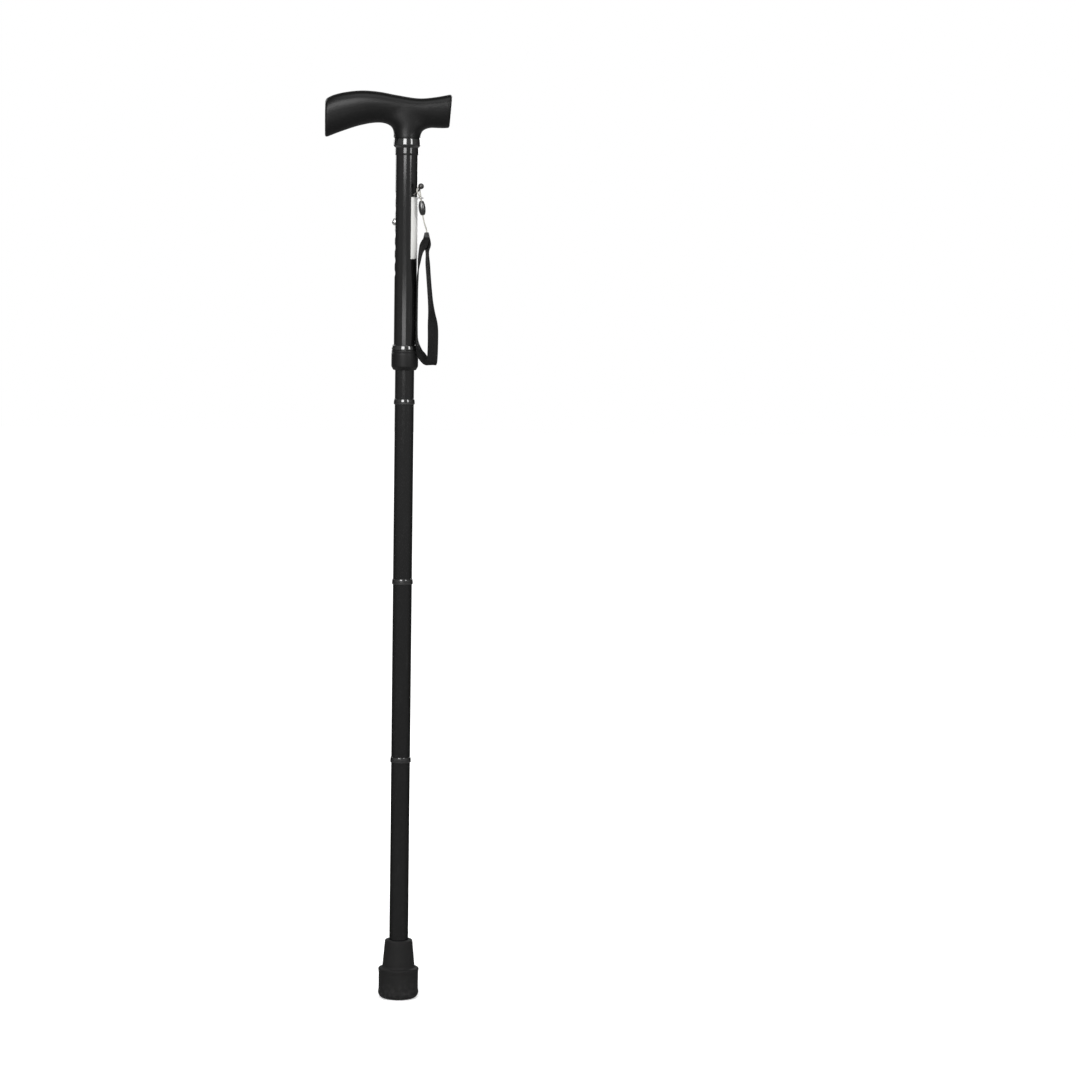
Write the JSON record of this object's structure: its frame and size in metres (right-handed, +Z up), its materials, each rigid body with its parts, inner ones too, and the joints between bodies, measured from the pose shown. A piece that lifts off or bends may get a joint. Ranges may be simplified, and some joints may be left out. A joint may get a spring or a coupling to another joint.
{
  "type": "folding cane",
  "caption": "Height-adjustable folding walking cane with a moulded T-handle, corded fold joints, locking collar, wrist strap and flared rubber tip.",
  "frame": {"origin": "centre of the tip's sole, on the floor, on the tubes' axis", "axes": "+Z up along the tubes, -X along the nose of the handle, +X to its short end and the wrist strap"},
  "size_m": [0.1252, 0.0408, 0.9098],
  "materials": {
    "handle": "satin moulded black",
    "gloss_black": "glossy black",
    "collar_black": "satin black",
    "black_tube": "glossy black anodised and lacquered",
    "nylon": "moulded black nylon",
    "steel": "plain",
    "button_steel": "polished",
    "dark_steel": "blackened",
    "elastic": "woven sleeve over rubber strands",
    "tether": "thin twisted cord",
    "bead": "glossy black",
    "webbing": "flat woven webbing",
    "label": "bare white",
    "tip_rubber": "matt moulded rubber"
  },
  "bodies": {
    "inner": {"inner_tube": "black_tube", "guide_bush": "nylon", "snap_spring": "steel", "cord_anchor_top": "nylon", "cord_knot_top": "elastic", "cord_1": "elastic", "joint_ring_1": "gloss_black"},
    "upper": {"handle": "handle", "handle_insert": "nylon", "handle_screw": "steel", "neck_collar": "gloss_black", "outer_tube": "black_tube", "lock_bush": "gloss_black", "label": "label", "strap_stud": "dark_steel"},
    "lock_nut": {"lock_nut": "collar_black"},
    "wrist_strap": {"strap_ring": "steel", "strap_tether": "tether", "strap_bead": "bead", "strap_webbing": "webbing"},
    "button": {"snap_button": "button_steel"},
    "cord_link_1": {"link_cord_1": "elastic"},
    "section_2": {"joint_plug_1": "nylon", "tube_2": "black_tube", "joint_ring_2": "gloss_black", "cord_2": "elastic"},
    "cord_link_2": {"link_cord_2": "elastic"},
    "section_3": {"joint_plug_2": "nylon", "tube_3": "black_tube", "joint_ring_3": "gloss_black", "cord_3": "elastic"},
    "cord_link_3": {"link_cord_3": "elastic"},
    "section_4": {"joint_plug_3": "nylon", "tube_4": "black_tube", "cord_4": "elastic", "cord_anchor_bottom": "nylon", "cord_knot_bottom": "elastic", "tip_washer": "steel", "rubber_tip": "tip_rubber"}
  },
  "joints": [
    {"name": "height_slide", "type": "slide", "parent": "inner", "child": "upper", "axis": [0, 0, 1], "range_m": [-0.0254, 0.0508]},
    {"name": "nut_turn", "type": "hinge", "parent": "upper", "child": "lock_nut", "pos_m": [0, 0, 0.6445], "axis": [0, 0, 1], "range_deg": [0, 180]},
    {"name": "strap_swing", "type": "hinge", "parent": "upper", "child": "wrist_strap", "pos_m": [0.01181, -0.01181, 0.81249], "axis": [-0.7071, -0.7071, 0], "range_deg": [0, 80]},
    {"name": "button_press", "type": "slide", "parent": "inner", "child": "button", "axis": [1, 0, 0], "range_m": [0, 0.0045], "stiffness_N_per_m": 800, "springref_m": -0.003, "deforming": ["snap_spring"]},
    {"name": "pull_1", "type": "slide", "parent": "inner", "child": "cord_link_1", "axis": [0, 0, -1], "range_m": [0, 0.025], "stiffness_N_per_m": 500, "springref_m": -0.04},
    {"name": "fold_1", "type": "hinge", "parent": "cord_link_1", "child": "section_2", "pos_m": [0, 0.0165, 0.6055], "axis": [1, 0, 0], "range_deg": [0, 180], "stiffness_Nm_per_rad": 0.15, "springref_deg": -171.89},
    {"name": "pull_2", "type": "slide", "parent": "section_2", "child": "cord_link_2", "axis": [0, 0, -1], "range_m": [0, 0.025], "stiffness_N_per_m": 500, "springref_m": -0.04},
    {"name": "fold_2", "type": "hinge", "parent": "cord_link_2", "child": "section_3", "pos_m": [0, -0.0165, 0.4255], "axis": [-1, 0, 0], "range_deg": [0, 180], "stiffness_Nm_per_rad": 0.15, "springref_deg": -171.89},
    {"name": "pull_3", "type": "slide", "parent": "section_3", "child": "cord_link_3", "axis": [0, 0, -1], "range_m": [0, 0.025], "stiffness_N_per_m": 500, "springref_m": -0.04},
    {"name": "fold_3", "type": "hinge", "parent": "cord_link_3", "child": "section_4", "pos_m": [-0.0165, 0, 0.2455], "axis": [0, 1, 0], "range_deg": [0, 180], "stiffness_Nm_per_rad": 0.15, "springref_deg": -171.89}
  ]
}
